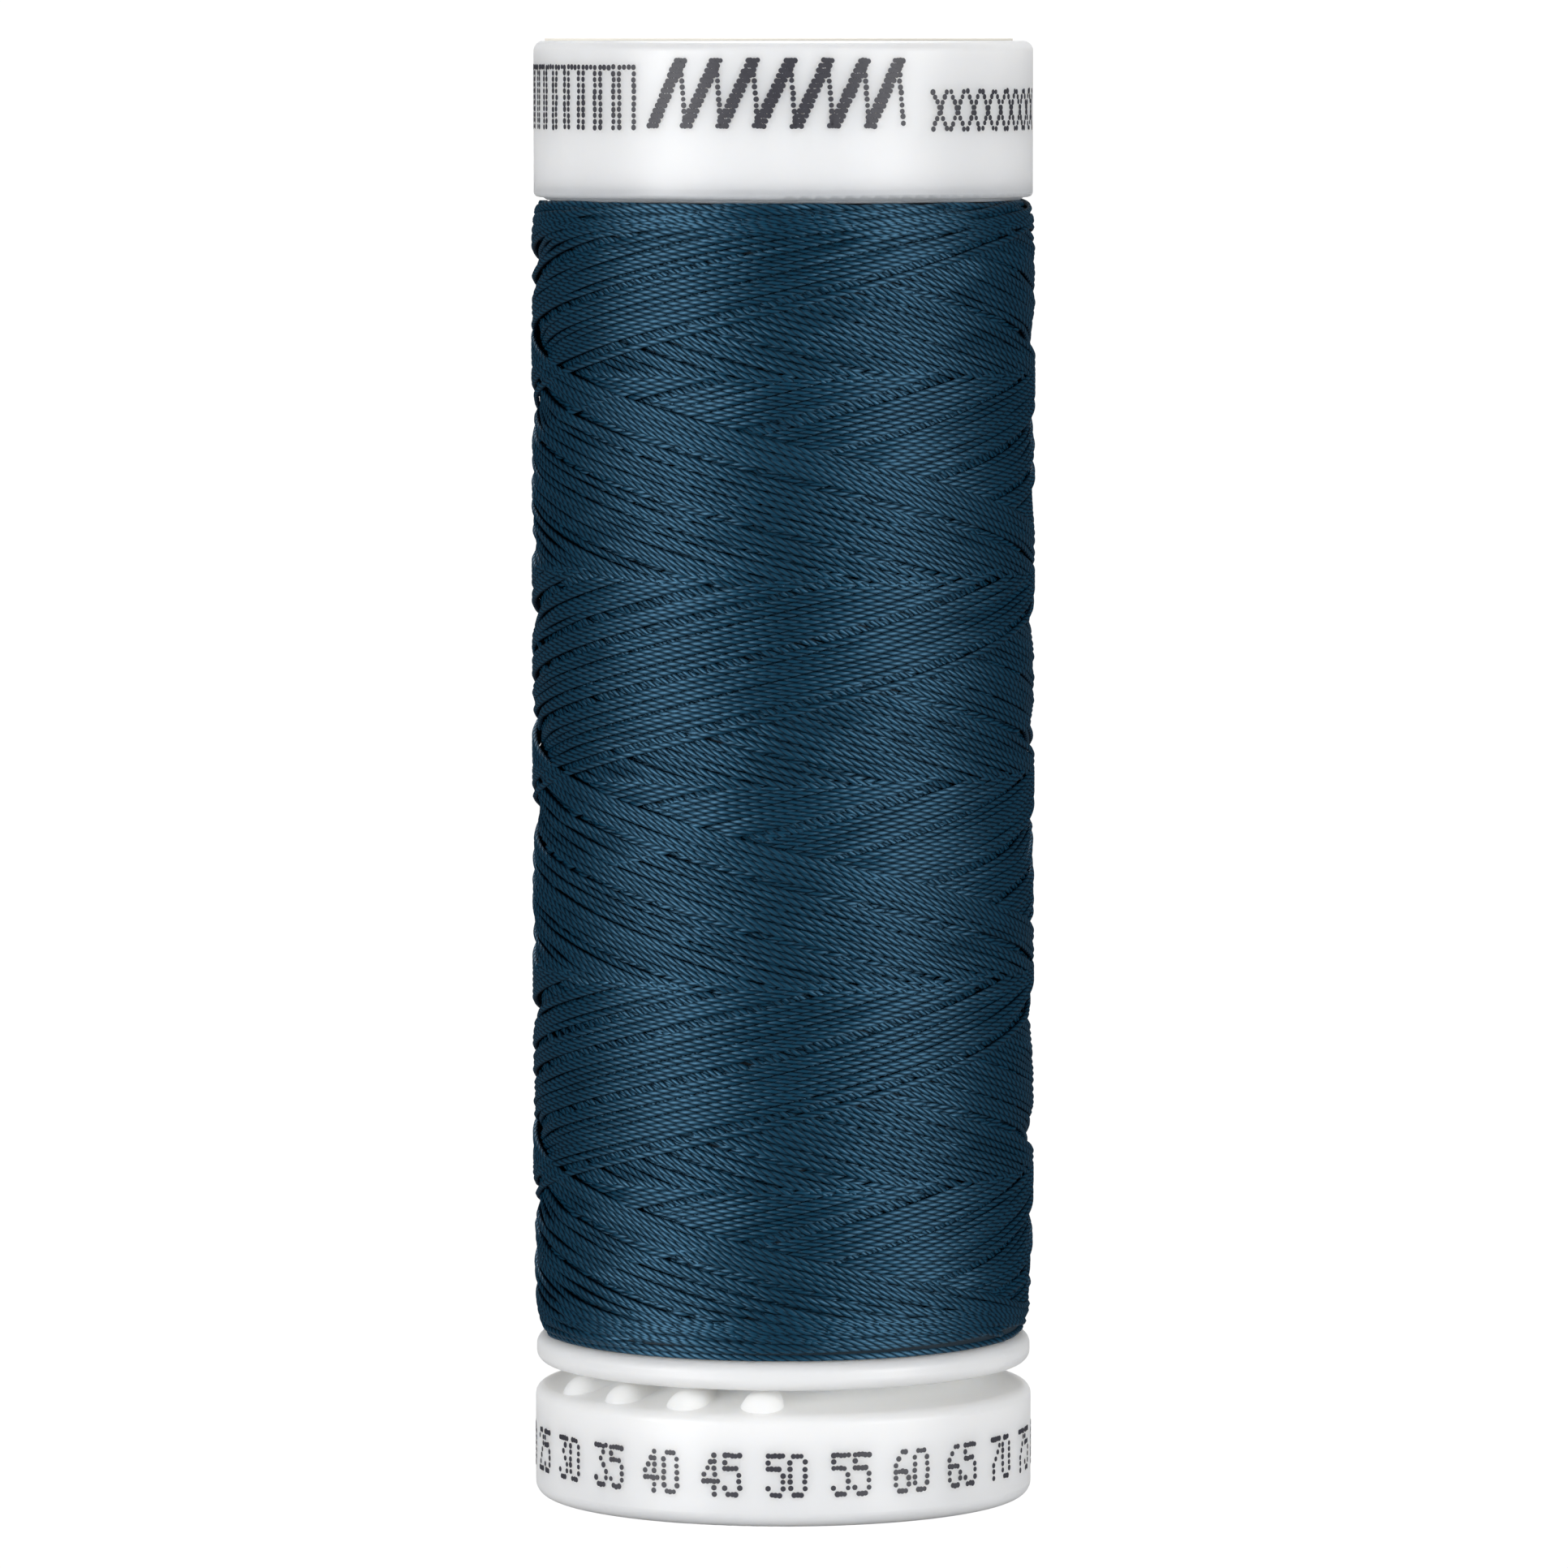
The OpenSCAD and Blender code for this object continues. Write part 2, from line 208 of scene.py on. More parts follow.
def advance(draw, count, mean, spread, group, gap):
    """How far each stroke lies beyond the one before it, in mm: neighbours touch, and a gap follows every
    group. The spread is the unevenness of the touching ones, and the group and the gap are ranges."""
    steps = TOUCH * (1 + spread * draw.standard_normal(count))
    at = 0
    while True:
        at += int(draw.integers(group[0], group[1] + 1))
        if at >= count:
            break
        steps[at] += draw.uniform(*gap)
    for i in range(0, count, EVENED):
        steps[i : i + EVENED] *= mean / steps[i : i + EVENED].mean()
    return steps


def smoothed(line, reach):
    """Running mean of a line of samples, over this many to each side."""
    size = 2 * reach + 1
    return np.convolve(np.pad(line, reach, mode="edge"), np.ones(size) / size, "valid")


def wound_path(s):
    """The whole yarn as it was wound: the number of each sample, its height in mm, and the sample where each
    pass begins. A pass runs from one reversal to the next."""
    draw = np.random.default_rng(s.seed)
    low, high = s.low / MM, s.high / MM
    centre, count, spacing = (low + high) / 2, s.strokes, s.spacing / MM
    slope = s.pitch / MM / 360
    up = advance(draw, count, spacing, spread=0.1, group=(3, 8), gap=(0.25, 0.55))
    down = advance(draw, count, spacing, spread=0.08, group=(4, 13), gap=(0.15, 0.4))
    # the turn, in degrees, at which each stroke passes the middle of the winding
    first = 2 * STROKE * np.arange(count) + MEETING
    rising = first - (up.sum() - np.cumsum(up)) / slope
    falling = first + STROKE - (down.sum() - np.cumsum(down)) / slope
    crossings = np.stack([rising, falling], 1).ravel()
    reach = np.diff(crossings) / 2 * slope
    tops = centre + reach * np.where(np.arange(len(reach)) % 2, -1, 1)
    knots = np.sort(np.concatenate([crossings, crossings[:-1] + np.diff(crossings) / 2]))
    levels = np.full(len(knots), centre)
    levels[1::2] = tops
    last = crossings[-1] + STROKE / 2
    knots, levels = np.append(knots, last), np.append(levels, centre - STROKE / 2 * slope)
    at = np.arange(math.ceil(knots[0] / STEP), int((last + CLOSING_TURNS[-1][0]) / STEP))
    z = np.interp(at * STEP, knots, levels)
    nth = np.searchsorted(crossings, at * STEP)
    # in front, the strokes turn back above the two closing turns
    above = np.interp((at * STEP + 180) % 360 - 180, *zip(*FRONT_REVERSAL))
    for sign, level in ((1, high), (-1, low + above)):
        # neighbouring strokes turn back in different lanes, so that the ends don't pile up
        lane = LANE * (2 * (nth // 2) % LANES) + draw.uniform(0, LANE / 2, nth[-1] + 1)[nth]
        ends = level + sign * (FIRST_LANE - lane)
        z = ends - sign * s.easing / MM * np.logaddexp(0, sign * (ends - z) / s.easing * MM)
    marks = at[::WANDER_EVERY]
    wander = np.interp(at, marks, WANDER * draw.standard_normal(len(marks)))
    z = np.clip(z + wander, low, high)
    closing = at * STEP - last
    level_turn = low + np.interp(closing, *zip(*CLOSING_TURNS))
    z = np.where(closing > CLOSING_TURNS[0][0], level_turn, z)
    for _ in range(2):  # the yarn is too stiff to turn back at a corner
        z = smoothed(z, STIFFNESS)
    passes = np.concatenate([crossings[:-1] + np.diff(crossings) / 2, last + np.array(CLOSING_PASSES)])
    starts = [0] + [int(p / STEP) - int(at[0]) for p in passes] + [len(at)]
    return at, z, starts


def pulled_tight(seat, step, radius):
    """Heights of a tight yarn over these seats: it runs straight from one high spot to the next, round a
    spool of this radius."""
    s = np.arange(len(seat)) * step
    g = seat - s * s / (2 * radius)
    kept = []
    for i in range(len(g)):
        while len(kept) > 1:
            a, b = kept[-2], kept[-1]
            if (g[b] - g[a]) * (i - a) > (g[i] - g[a]) * (b - a):
                break
            kept.pop()
        kept.append(i)
    return np.interp(s, s[kept], g[kept]) + s * s / (2 * radius)


def lay_yarn(s):
    """Winds the yarn pass by pass on a relief of the spool's round. Gives each sample's number and height,
    how far its crown stands proud of the winding around it, whether it shows, and where each pass begins."""
    at, z, starts = wound_path(s)
    wide, thick = s.yarn_width / MM / 2, s.yarn_thickness / MM / 2
    bottom = s.low / MM - MARGIN
    rows = int((s.high / MM + MARGIN - bottom) / ROW) + 1
    reach = int(wide / ROW)
    offsets = np.arange(-reach, reach + 1)
    crown = thick * np.sqrt(1 - (offsets * ROW / wide) ** 2)
    relief = np.zeros((rows, COLUMNS))
    row = np.rint((z - bottom) / ROW).astype(int)
    col = at % COLUMNS
    centre = np.zeros(len(z))
    arc = math.radians(STEP) * ROUND
    for first, last in zip(starts, starts[1:]):
        cells = (row[first:last, None] + offsets, col[first:last, None])
        seat = pulled_tight((relief[cells] + crown).max(1), arc, ROUND)
        seat = smoothed(seat, SETTLED) - s.press * thick
        centre[first:last] = seat
        relief[cells] = np.maximum(relief[cells], seat[:, None] + crown)
    cells = (row[:, None] + offsets, col[:, None])
    shows = (centre[:, None] + crown >= relief[cells] - SHOWN).any(1)
    # the crowns are measured from the level of the winding around them, which keeps part of its broad ripples
    wound = slice(int((s.low / MM - bottom) / ROW), int((s.high / MM - bottom) / ROW) + 1)
    local = relief[wound]
    for _ in range(2):
        local = blurred(blurred(local, BLUR[0], 0), BLUR[1], 1)
    local = np.pad(local, ((wound.start, rows - wound.stop), (0, 0)), mode="edge")
    ripple = np.clip(local - local.mean(1)[:, None], -RIPPLE, RIPPLE)
    proud = centre + thick - (local - RIPPLE_KEPT * ripple)[row, col]
    # the older strands at the top are pushed up against the rim and lie less deep
    shallow = np.interp(z, (s.high / MM - RIM_FROM, s.high / MM - RIM_TO), (1, RIM_DEPTH))
    proud = np.where(proud < 0, proud * shallow, proud)
    # the closing turns were wound last and lie on the surface
    closing = starts[-len(CLOSING_PASSES) - 1]
    proud[closing:] = np.clip(proud[closing:], *CLOSING_PROUD)
    return at, z, proud, shows, starts


def blurred(relief, reach, axis):
    """Running mean of the relief up and down (axis 0) or round the spool (axis 1)."""
    edges = [(reach, reach) if a == axis else (0, 0) for a in (0, 1)]
    wide = np.pad(relief, edges, mode="wrap" if axis else "edge")
    total = np.cumsum(np.insert(wide, 0, 0, axis=axis), axis=axis)
    size = 2 * reach + 1
    ends = [slice(size, None) if a == axis else slice(None) for a in (0, 1)]
    begins = [slice(None, -size) if a == axis else slice(None) for a in (0, 1)]
    return (total[tuple(ends)] - total[tuple(begins)]) / size


def widen(marks, by):
    """Marks the samples that lie this near to a marked one, too."""
    return np.convolve(marks, np.ones(2 * by + 1), "same") > 0.5


def shown_runs(shows):
    """First and last sample of each stretch of yarn that shows, a little longer at both ends so that it dives
    under its neighbours."""
    near = widen(shows.astype(float), BRIDGED)
    near = ~widen((~near).astype(float), BRIDGED - DIVE)
    edges = np.flatnonzero(np.diff(np.concatenate(([0], near.astype(int), [0]))))
    runs = edges.reshape(-1, 2)
    seen = np.concatenate(([0], np.cumsum(shows)))
    return [(a, b) for a, b in runs if seen[b] - seen[a] > LEAST_SEEN and b - a > LEAST_LONG]


def yarn_tube(s, at, z, proud, first, last):
    """Rings of one stretch of yarn, and how far along the pattern each ring is."""
    picked = np.arange(first, last, RING)
    if picked[-1] != last - 1:
        picked = np.append(picked, last - 1)
    wide, thick = PRESSED * s.yarn_width / MM / 2, s.yarn_thickness / MM / 2
    turn, height = at[picked] * STEP, z[picked]
    edge = np.interp(height, *zip(*WOUND_EDGE))
    rise = proud[picked]
    most = np.where(rise > 0, RAISED, SUNK)
    radius = edge - thick + most * np.tanh(rise / most)
    middle = on_cylinder(turn, radius, height) / MM
    along = np.gradient(middle, axis=0)
    along /= np.linalg.norm(along, axis=1)[:, None]
    out = on_cylinder(turn, 1.0, height * 0) / MM
    out -= along * (along * out).sum(1)[:, None]
    out /= np.linalg.norm(out, axis=1)[:, None]
    side = np.cross(out, along)
    angle = 2 * math.pi * np.arange(SIDES) / SIDES
    rings = (
        middle[:, None]
        + thick * np.cos(angle)[:, None] * out[:, None]
        + wide * np.sin(angle)[:, None] * side[:, None]
    )
    length = np.concatenate(([0], np.cumsum(np.linalg.norm(np.diff(middle, axis=0), axis=1))))
    start = (at[first] * math.radians(STEP) * ROUND / TILE) % 1
    return rings * MM, start + length / TILE


def yarn_mesh(name, tubes):
    """One mesh of closed tubes, with the pattern's map: along the yarn and round it."""
    points, quads, maps, offset = [], [], [], 0
    j = np.arange(SIDES)
    k = (j + 1) % SIDES
    caps = np.array([[0, 1, 2, 3], [0, 3, 4, 5]])  # two quads close a six-sided end
    cap_v = caps / SIDES
    for rings, u in tubes:
        n = len(rings)
        i = np.arange(n - 1)[:, None] * SIDES
        quad = np.stack([i + j, i + SIDES + j, i + SIDES + k, i + k], -1).reshape(-1, 4)
        shape = (n - 1, SIDES)
        u0, u1 = np.broadcast_to(u[:-1, None], shape), np.broadcast_to(u[1:, None], shape)
        v0, v1 = np.broadcast_to(j / SIDES, shape), np.broadcast_to((j + 1) / SIDES, shape)
        uv = np.stack([np.stack(c, -1) for c in ((u0, v0), (u1, v0), (u1, v1), (u0, v1))], 2)
        end = (n - 1) * SIDES
        quads += [quad + offset, caps + offset, caps[:, ::-1] + end + offset]
        maps += [
            uv.reshape(-1, 2),
            np.stack([np.full(caps.size, u[0]), cap_v.ravel()], -1),
            np.stack([np.full(caps.size, u[-1]), cap_v[:, ::-1].ravel()], -1),
        ]
        points.append(rings.reshape(-1, 3))
        offset += n * SIDES
    points, quads, maps = np.concatenate(points), np.concatenate(quads), np.concatenate(maps)
    mesh = bpy.data.meshes.new(name)
    mesh.vertices.add(len(points))
    mesh.vertices.foreach_set("co", points.ravel())
    mesh.loops.add(quads.size)
    mesh.loops.foreach_set("vertex_index", quads.ravel())
    mesh.polygons.add(len(quads))
    mesh.polygons.foreach_set("loop_start", np.arange(0, quads.size, 4))
    mesh.polygons.foreach_set("use_smooth", np.ones(len(quads), bool))
    mesh.uv_layers.new(name="OFBake").data.foreach_set("uv", maps.ravel())
    mesh.update(calc_edges=True)
    mesh.validate()
    piece = bpy.data.objects.new(name, mesh)
    bpy.context.scene.collection.objects.link(piece)
    return piece


def yarn_material(s):
    """Spun polyester sewing thread: three plies of short fibres twisted together. The hollows between the
    plies are painted darker as painted shade, and their gloss is dimmed there; the crowns of the plies carry
    a soft sheen along their fibres."""
    material, tree = new_material("twisted polyester thread", s.crown)
    uv = add_node(tree, "ShaderNodeUVMap", uv_map="OFBake")
    parts = add_node(tree, "ShaderNodeSeparateXYZ", {0: uv.outputs[0]})
    u, v = parts.outputs[0], parts.outputs[1]
    # the plies run slantwise, and each is 0 at its edges and 1 on its crown
    round_it = add_node(tree, "ShaderNodeMath", {0: v, 1: float(PLIES)}, operation="MULTIPLY")
    phase = add_node(
        tree,
        "ShaderNodeMath",
        {0: u, 1: float(TILE_PLIES), 2: round_it.outputs[0]},
        operation="MULTIPLY_ADD",
    )
    across = add_node(tree, "ShaderNodeMath", {0: phase.outputs[0]}, operation="FRACT")
    centred = add_node(
        tree, "ShaderNodeMath", {0: across.outputs[0], 1: 2.0, 2: -1.0}, operation="MULTIPLY_ADD"
    )
    square = add_node(
        tree, "ShaderNodeMath", {0: centred.outputs[0], 1: centred.outputs[0]}, operation="MULTIPLY"
    )
    ply = add_node(tree, "ShaderNodeMath", {0: 1.0, 1: square.outputs[0]}, operation="SUBTRACT")
    # fibres: streaks along a ply, four across it and 0.6 mm long
    fibre_across = add_node(tree, "ShaderNodeMath", {0: phase.outputs[0], 1: 4.0}, operation="MULTIPLY")
    fibre_along = add_node(tree, "ShaderNodeMath", {0: u, 1: TILE / 0.6}, operation="MULTIPLY")
    fibre_at = add_node(
        tree, "ShaderNodeCombineXYZ", {0: fibre_across.outputs[0], 1: fibre_along.outputs[0]}
    )
    fibre = add_node(
        tree,
        "ShaderNodeTexNoise",
        {"Vector": fibre_at.outputs[0], "Scale": 1.0, "Detail": 2.0, "Roughness": 0.6},
    )
    # the yarn is a little lighter and darker by turns, every 3 mm
    shade_along = add_node(tree, "ShaderNodeMath", {0: u, 1: TILE / 3.0}, operation="MULTIPLY")
    shade = add_node(
        tree,
        "ShaderNodeTexNoise",
        {"W": shade_along.outputs[0], "Scale": 1.0, "Detail": 2.0},
        noise_dimensions="1D",
    )
    fibre_lift = add_node(
        tree, "ShaderNodeMath", {0: fibre.outputs[0], 1: 0.5, 2: -0.25}, operation="MULTIPLY_ADD"
    )
    shade_lift = add_node(
        tree, "ShaderNodeMath", {0: shade.outputs[0], 1: 0.3, 2: -0.15}, operation="MULTIPLY_ADD"
    )
    lift = add_node(
        tree, "ShaderNodeMath", {0: fibre_lift.outputs[0], 1: shade_lift.outputs[0]}, operation="ADD"
    )
    tone = add_node(tree, "ShaderNodeMath", {0: lift.outputs[0], 1: ply.outputs[0]}, operation="ADD")
    # painted shade: the colour darkens from the crown of each ply towards the hollows between the plies; the
    # fibre streaks and the slow drift along the yarn add uneven tone
    ramp = add_node(tree, "ShaderNodeValToRGB", {0: tone.outputs[0]})
    stops = ramp.color_ramp.elements
    stops[0].position, stops[0].color = 0.08, s.groove_shade
    stops[1].position, stops[1].color = 1.0, s.crown
    stops.new(0.5).color = s.flank_shade
    # painted shade on the gloss: its tint falls to 0.3 of the sheen in the hollows between the plies and is
    # full on the crowns
    sheen = add_node(tree, "ShaderNodeValToRGB", {0: tone.outputs[0]})
    stops = sheen.color_ramp.elements
    stops[0].position, stops[0].color = 0.1, [0.3 * c for c in s.sheen[:3]] + [1]
    stops[1].position, stops[1].color = 0.8, s.sheen
    height = add_node(
        tree,
        "ShaderNodeMath",
        {0: fibre.outputs[0], 1: 0.15, 2: ply.outputs[0]},
        operation="MULTIPLY_ADD",
    )
    relief = {"Height": height.outputs[0], "Strength": 1.0, "Distance": 0.034 * MM}
    bump = add_node(tree, "ShaderNodeBump", relief)
    # fibres scatter light widely across their length and narrowly along it, and they run round the spool
    round_the_spool = add_node(tree, "ShaderNodeTangent", direction_type="RADIAL", axis="Z")
    shader = add_node(
        tree,
        "ShaderNodeBsdfPrincipled",
        {
            "Base Color": ramp.outputs[0],
            "Roughness": s.roughness,
            "Anisotropic": 0.7,
            "Anisotropic Rotation": 0.25,
            "Tangent": round_the_spool.outputs[0],
            "IOR": 1.8,
            "Specular IOR Level": s.gloss,
            "Specular Tint": sheen.outputs[0],
            "Normal": bump.outputs[0],
        },
    )
    finish_material(tree, shader.outputs[0])
    return material


def deep_layers():
    """Thread deep inside the winding: the same polyester in the others' shade, drawn as dark streaks round
    the spool."""
    material, tree = new_material("deep layers of thread", colour("0A1C28"))
    where = add_node(tree, "ShaderNodeTexCoord").outputs["Object"]
    stretch = add_node(tree, "ShaderNodeMapping", {"Vector": where, "Scale": (400, 400, 3600)})
    strands = add_node(
        tree, "ShaderNodeTexNoise", {"Vector": stretch.outputs[0], "Scale": 1.0, "Detail": 1.0}
    )
    ramp = add_node(tree, "ShaderNodeValToRGB", {0: strands.outputs[0]})
    ramp.color_ramp.elements[0].color = colour("05121A")
    ramp.color_ramp.elements[1].color = colour("0F2C3C")
    relief = {"Height": strands.outputs[0], "Strength": 0.6, "Distance": 0.1 * MM}
    bump = add_node(tree, "ShaderNodeBump", relief)
    shader = add_node(
        tree,
        "ShaderNodeBsdfPrincipled",
        {"Base Color": ramp.outputs[0], "Roughness": 0.8, "Normal": bump.outputs[0]},
    )
    finish_material(tree, shader.outputs[0])
    return material


class SpoolWindingSettings(bpy.types.PropertyGroup):
    """Sizes and colours of the wound thread."""

    yarn_width: FloatProperty(
        name="Yarn width",
        description="Width of the yarn as it lies",
        default=0.28 * MM,
        unit="LENGTH",
        precision=5,
    )
    yarn_thickness: FloatProperty(
        name="Yarn thickness",
        description="Thickness of the yarn, pressed a little flat",
        default=0.24 * MM,
        unit="LENGTH",
        precision=5,
    )
    spacing: FloatProperty(
        name="Spacing",
        description="Average height between neighbouring strokes, gaps included",
        default=0.335 * MM,
        unit="LENGTH",
        precision=5,
    )
    pitch: FloatProperty(
        name="Pitch",
        description="Height that one turn climbs, away from the ends",
        default=17.6 * MM,
        unit="LENGTH",
    )
    easing: FloatProperty(
        name="Easing",
        description="How gently a stroke levels out before it turns back",
        default=0.8 * MM,
        unit="LENGTH",
    )
    low: FloatProperty(
        name="Lower reversal",
        description="Height where strokes turn back up",
        default=7.37 * MM,
        unit="LENGTH",
    )
    high: FloatProperty(
        name="Upper reversal",
        description="Height where strokes turn back down",
        default=57.38 * MM,
        unit="LENGTH",
    )
    strokes: IntProperty(
        name="Double strokes",
        description="Trips of the guide up and down that are wound",
        default=102,
        min=20,
    )
    press: FloatProperty(
        name="Press",
        description="How far a crossing presses the yarn in, as a share of half its thickness",
        default=0.3,
    )
    seed: IntProperty(name="Seed", description="Start of the uneven spacing", default=7)
    roughness: FloatProperty(name="Roughness", description="Roughness of the fibres' gloss", default=0.55)
    gloss: FloatProperty(name="Gloss", description="Strength of the fibres' gloss", default=1.0)
    # painted shade: the colours between and beside the plies are the yarn's crown colour, darkened where
    # shade falls across a ply
    groove_shade: FloatVectorProperty(
        name="Groove",
        description="Colour between the plies",
        subtype="COLOR",
        size=4,
        default=colour("00121D"),
    )
    flank_shade: FloatVectorProperty(
        name="Flank",
        description="Colour on a ply's side",
        subtype="COLOR",
        size=4,
        default=colour("021B2C"),
    )
    crown: FloatVectorProperty(
        name="Crown",
        description="Colour on a ply's crown",
        subtype="COLOR",
        size=4,
        default=colour("08354B"),
    )
    sheen: FloatVectorProperty(
        name="Sheen",
        description="Tint of the gloss on a crown",
        subtype="COLOR",
        size=4,
        default=colour("87BEE3"),
    )


class SPOOL_OT_winding(bpy.types.Operator):
    """Wind the thread crosswise between the flanges"""

    bl_idname = "spool.winding"
    bl_label = "Wind the thread"

    def execute(self, context):
        s = context.scene.spool_winding
        yarn = yarn_material(s)
        at, z, proud, shows, starts = lay_yarn(s)
        families = {"winding_up": [], "winding_down": []}
        for first, last in shown_runs(shows):
            nth = np.searchsorted(starts, (first + last) // 2, side="right") - 1
            tube = yarn_tube(s, at, z, proud, first, last)
            families["winding_down" if nth % 2 else "winding_up"].append(tube)
        for family, tubes in families.items():
            sizes = np.cumsum([(len(r) - 1) * SIDES + 4 for r, _ in tubes])
            if not len(sizes):
                raise RuntimeError("no yarn of " + family + " shows")
            parts = -(-sizes[-1] // MOST_QUADS)
            share = np.minimum((sizes - 1) * parts // sizes[-1], parts - 1)
            for part in range(parts):
                held = [tube for tube, its_part in zip(tubes, share) if its_part == part]
                piece = yarn_mesh(f"{family}_{part + 1}", held)
                piece.data.materials.append(yarn)
                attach(piece, SPOOL)
                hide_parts("thread_core", "thread_winding")
        self.add_bed()
        return {"FINISHED"}

    def add_bed(self):
        """The deep layers, which only show as darkness between the strands."""
        low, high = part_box("thread_core")
        deselect()
        bpy.ops.mesh.primitive_cylinder_add(
            vertices=128,
            radius=BED_RADIUS * MM,
            depth=high.z - low.z - BED_GAP * MM,
            end_fill_type="NOTHING",
            location=(0, 0, (low.z + high.z) / 2),
        )
        bed = bpy.context.object
        bed.name = bed.data.name = "winding_bed"
        place_in_mesh(bed)
        wall = bed.modifiers.new("wall", "SOLIDIFY")
        wall.thickness, wall.offset = BED_WALL * MM, -1
        round_off = bed.modifiers.new("round_off", "BEVEL")
        round_off.width, round_off.segments, round_off.limit_method = BED_ROUND * MM, 3, "ANGLE"
        for modifier in ("wall", "round_off"):
            bpy.ops.object.modifier_apply(modifier=modifier)
        bpy.ops.object.shade_smooth_by_angle(angle=math.radians(40))
        bed.data.materials.append(deep_layers())
        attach(bed, SPOOL)
        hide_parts("thread_core", "thread_winding")


# ---------------------------------------------------------------- mouldings


class SpoolMouldingSettings(bpy.types.PropertyGroup):
    """Finish of the white mouldings."""

    body: FloatVectorProperty(
        name="Plastic",
        description="Colour of the moulded plastic",
        subtype="COLOR",
        size=4,
        default=colour("FAFAF8"),
    )
    roughness: FloatProperty(name="Roughness", description="Roughness of the moulded skin", default=0.47)
    grain: FloatProperty(
        name="Grain",
        description="Size of the skin's faint waviness",
        default=0.9 * MM,
        unit="LENGTH",
        precision=5,
    )


def moulded_plastic(s):
    """Injection-moulded high-impact polystyrene: opaque white with a satin skin that takes broad, soft
    highlights, a faint waviness from the mould and a little light carried through thin edges."""
    material, tree = new_material("injection-moulded polystyrene", s.body)
    where = add_node(tree, "ShaderNodeTexCoord").outputs["Object"]
    flow = add_node(
        tree, "ShaderNodeTexNoise", {"Vector": where, "Scale": 1 / (5 * MM), "Detail": 3.0}
    )
    fleck = add_node(
        tree, "ShaderNodeTexNoise", {"Vector": where, "Scale": 1 / (0.25 * MM), "Detail": 2.0}
    )
    tint = add_node(
        tree,
        "ShaderNodeMix",
        {"Factor": flow.outputs[0], 6: [c * 0.985 for c in s.body[:3]] + [1], 7: s.body},
        data_type="RGBA",
    )
    shine = add_node(
        tree,
        "ShaderNodeMapRange",
        {
            "Value": flow.outputs[0],
            "From Min": 0.3,
            "From Max": 0.7,
            "To Min": s.roughness - 0.04,
            "To Max": s.roughness + 0.05,
        },
    )
    waves = add_node(tree, "ShaderNodeTexNoise", {"Vector": where, "Scale": 1 / s.grain, "Detail": 2.0})
    both = add_node(
        tree,
        "ShaderNodeMath",
        {0: fleck.outputs[0], 1: 0.15, 2: waves.outputs[0]},
        operation="MULTIPLY_ADD",
    )
    relief = {"Height": both.outputs[0], "Strength": 0.5, "Distance": 0.006 * MM}
    bump = add_node(tree, "ShaderNodeBump", relief)
    shader = add_node(
        tree,
        "ShaderNodeBsdfPrincipled",
        {
            "Base Color": tint.outputs[2],
            "Roughness": shine.outputs[0],
            "IOR": 1.5,
            "Subsurface Weight": 1.0,
            "Subsurface Radius": (1.0, 0.95, 0.88),
            "Subsurface Scale": 2.5 * MM,
            "Normal": bump.outputs[0],
        },
    )
    finish_material(tree, shader.outputs[0])
    return material


class SPOOL_OT_mouldings(bpy.types.Operator):
    """Give the barrel, the cap and the snap base their moulded white finish"""

    bl_idname = "spool.mouldings"
    bl_label = "Finish the mouldings"

    def execute(self, context):
        white = moulded_plastic(context.scene.spool_moulding)
        for name in ("spool_body", "top_cap", "snap_base"):
            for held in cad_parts[name].material_slots:
                held.material = white
        return {"FINISHED"}


# ---------------------------------------------------------------- label


LABEL_ASIDE = 0.2  # mm that the label is stuck off the axis
RING_AT = 9.3  # mm, radius of its printed ring
RING_HALF = 0.14  # mm, half the width of the ring


class SpoolLabelSettings(bpy.types.PropertyGroup):
    """Finish of the paper disc on the cap."""

    paper: FloatVectorProperty(
        name="Paper",
        description="Colour of the paper",
        subtype="COLOR",
        size=4,
        default=colour("E4E0D6"),
    )
    ring: FloatVectorProperty(
        name="Ring",
        description="Colour of the printed ring",
        subtype="COLOR",
        size=4,
        default=colour("2B4A5E"),
    )


def label_paper(s):
    """Uncoated paper, punched to a disc: matt, fibrous and a little warm, with one thin printed ring near its
    rim."""
    material, tree = new_material("uncoated label paper", s.paper)
    where = add_node(tree, "ShaderNodeTexCoord").outputs["Object"]
    fibres = add_node(
        tree, "ShaderNodeTexNoise", {"Vector": where, "Scale": 1 / (0.12 * MM), "Detail": 4.0}
    )
    cloud = add_node(
        tree, "ShaderNodeTexNoise", {"Vector": where, "Scale": 1 / (1.5 * MM), "Detail": 2.0}
    )
    mottle = add_node(
        tree,
        "ShaderNodeMix",
        {"Factor": cloud.outputs[0], 6: [c * 0.93 for c in s.paper[:3]] + [1], 7: s.paper},
        data_type="RGBA",
    )
    flat = add_node(
        tree,
        "ShaderNodeMapping",
        {"Vector": where, "Location": (LABEL_ASIDE * MM, 0, 0), "Scale": (1, 1, 0)},
    )
    away = add_node(tree, "ShaderNodeVectorMath", {0: flat.outputs[0]}, operation="LENGTH")
    from_ring = add_node(
        tree, "ShaderNodeMath", {0: away.outputs["Value"], 1: RING_AT * MM}, operation="SUBTRACT"
    )
    near = add_node(tree, "ShaderNodeMath", {0: from_ring.outputs[0]}, operation="ABSOLUTE")
    inked = add_node(
        tree, "ShaderNodeMath", {0: near.outputs[0], 1: RING_HALF * MM}, operation="LESS_THAN"
    )
    face = add_node(
        tree,
        "ShaderNodeMix",
        {"Factor": inked.outputs[0], 6: mottle.outputs[2], 7: s.ring},
        data_type="RGBA",
    )
    relief = {"Height": fibres.outputs[0], "Strength": 0.5, "Distance": 0.01 * MM}
    bump = add_node(tree, "ShaderNodeBump", relief)
    shader = add_node(
        tree,
        "ShaderNodeBsdfPrincipled",
        {"Base Color": face.outputs[2], "Roughness": 0.9, "IOR": 1.45, "Normal": bump.outputs[0]},
    )
    finish_material(tree, shader.outputs[0])
    return material


